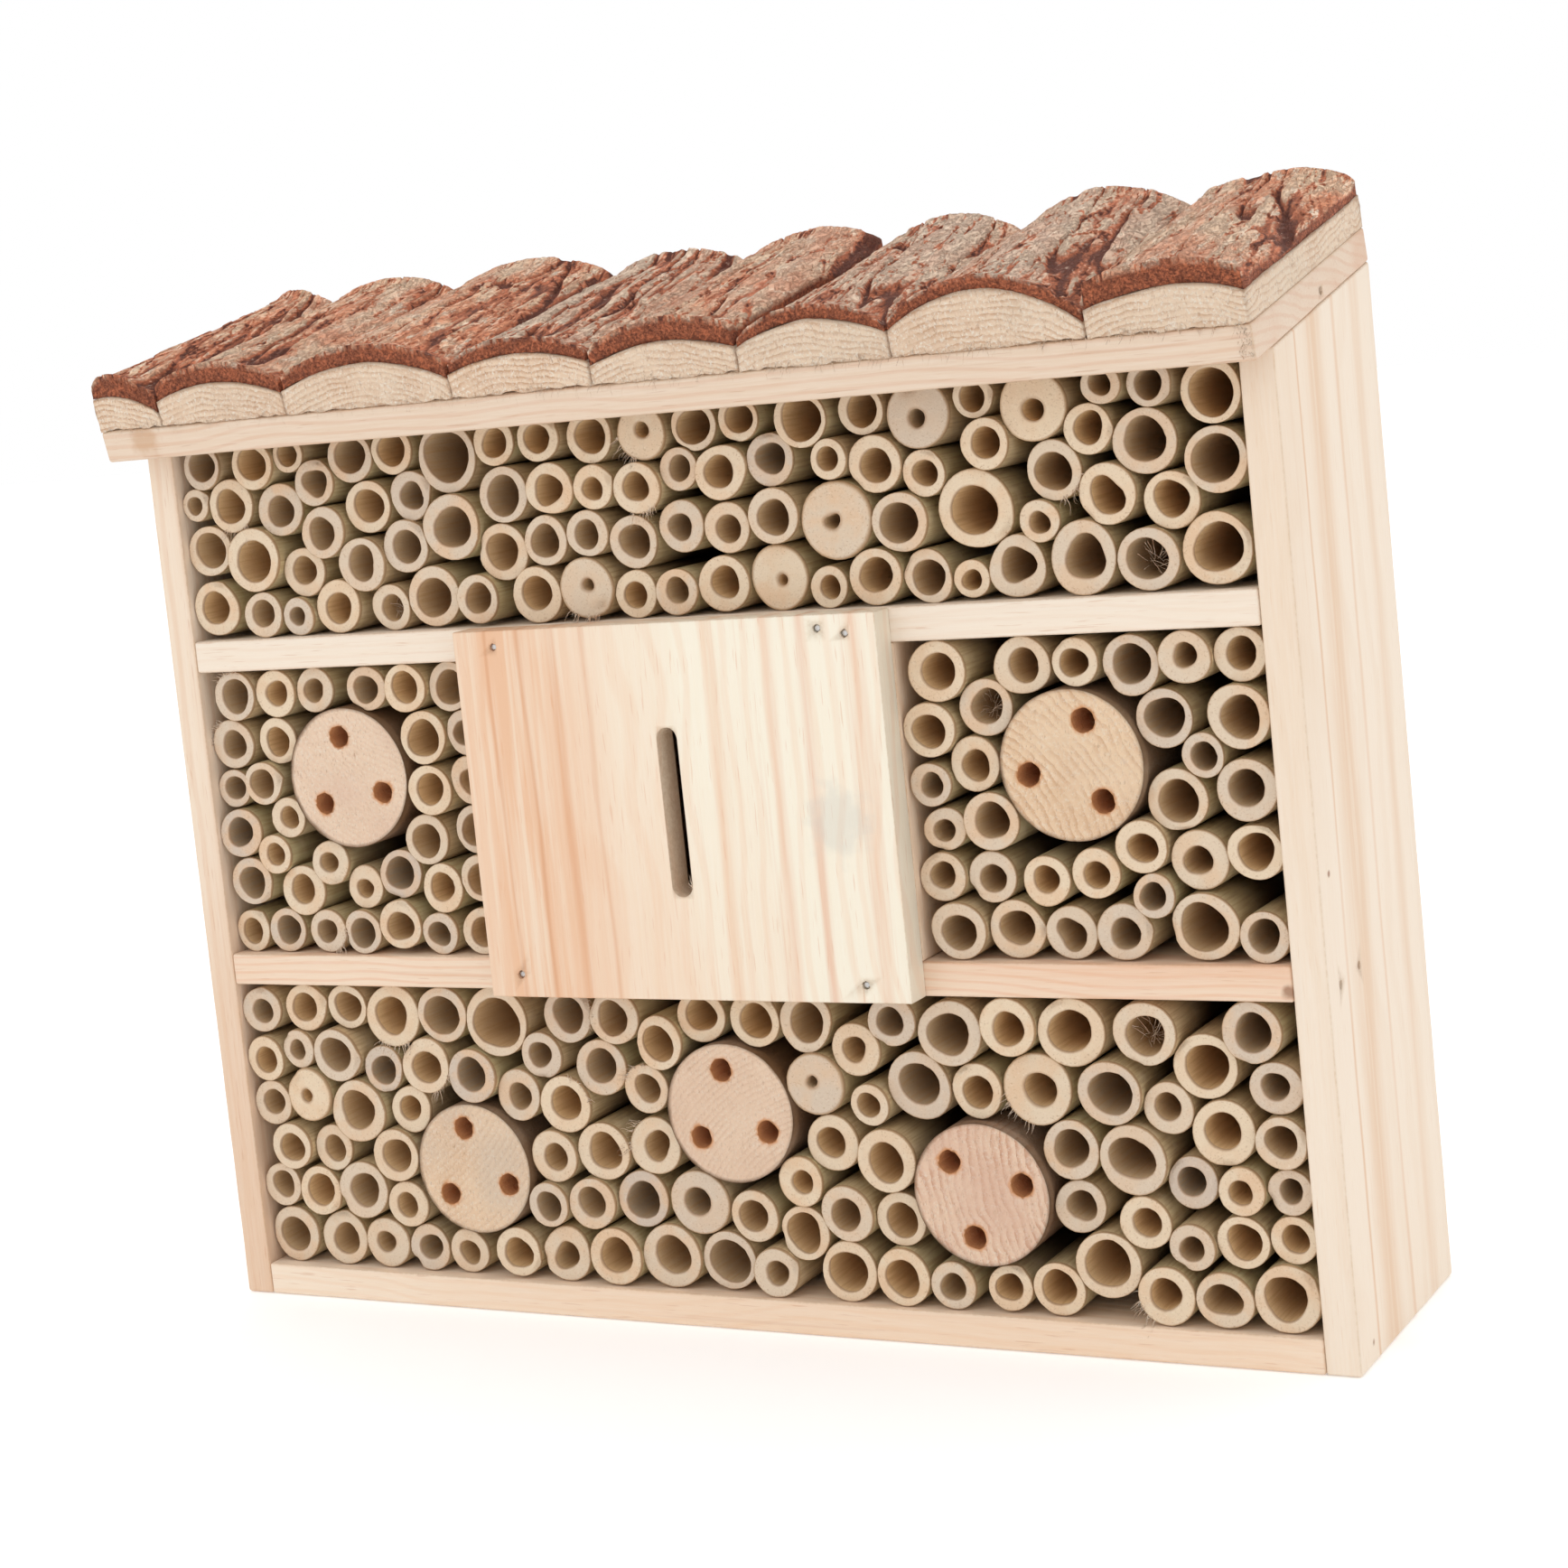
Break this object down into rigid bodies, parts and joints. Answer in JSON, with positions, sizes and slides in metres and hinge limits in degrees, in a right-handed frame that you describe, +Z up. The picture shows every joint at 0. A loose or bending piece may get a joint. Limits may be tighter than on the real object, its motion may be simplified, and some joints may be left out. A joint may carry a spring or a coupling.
{
  "type": "insect hotel",
  "caption": "Pine insect hotel with a slotted chamber, bamboo canes and drilled logs, and a lean-to roof of sawn slabs with their bark.",
  "frame": {"origin": "the middle of the underside of the box, halfway across the outer faces of the side boards and halfway through the box's depth", "axes": "+X along the front to the right as seen from the front, +Y to the back, +Z up"},
  "size_m": [0.303, 0.0864, 0.2607],
  "materials": {
    "pine_board": "planed",
    "pine_front": "planed",
    "slab_wood": "rough sawn",
    "bark": "rough",
    "bamboo": "satin",
    "log_wood": "rough sawn",
    "nail_steel": "bright",
    "hanger_steel": "zinc plated"
  },
  "bodies": {
    "root": {"side_nails_left": "nail_steel", "side_nails_right": "nail_steel", "front_nails": "nail_steel", "back_nails": "nail_steel", "roof_nails": "nail_steel", "slab_nails": "nail_steel", "hanger_screws": "hanger_steel", "side_board_left": "pine_board", "side_board_right": "pine_board", "bottom_board": "pine_board", "lower_shelf": "pine_board", "upper_shelf": "pine_board", "chamber_wall_left": "pine_board", "chamber_wall_right": "pine_board", "chamber_front": "pine_front", "back_board": "pine_board", "hanger_left": "hanger_steel", "hanger_right": "hanger_steel", "roof_board": "pine_front", "roof_slab_1": "slab_wood", "roof_bark_1": "bark", "roof_slab_2": "slab_wood", "roof_bark_2": "bark", "roof_slab_3": "slab_wood", "roof_bark_3": "bark", "roof_slab_4": "slab_wood", "roof_bark_4": "bark", "roof_slab_5": "slab_wood", "roof_bark_5": "bark", "roof_slab_6": "slab_wood", "roof_bark_6": "bark", "roof_slab_7": "slab_wood", "roof_bark_7": "bark", "roof_slab_8": "slab_wood", "roof_bark_8": "bark", "canes_top_1": "bamboo", "canes_top_2": "bamboo", "canes_top_3": "bamboo", "canes_top_4": "bamboo", "canes_left_1": "bamboo", "canes_left_2": "bamboo", "canes_left_3": "bamboo", "canes_left_4": "bamboo", "canes_right_1": "bamboo", "canes_right_2": "bamboo", "canes_right_3": "bamboo", "canes_right_4": "bamboo", "canes_bottom_1": "bamboo", "canes_bottom_2": "bamboo", "canes_bottom_3": "bamboo", "canes_bottom_4": "bamboo", "canes_bottom_5": "bamboo", "canes_bottom_6": "bamboo", "log_left": "log_wood", "log_right": "log_wood", "log_bottom_left": "log_wood", "log_bottom_centre": "log_wood", "log_bottom_right": "log_wood"}
  },
  "joints": []
}
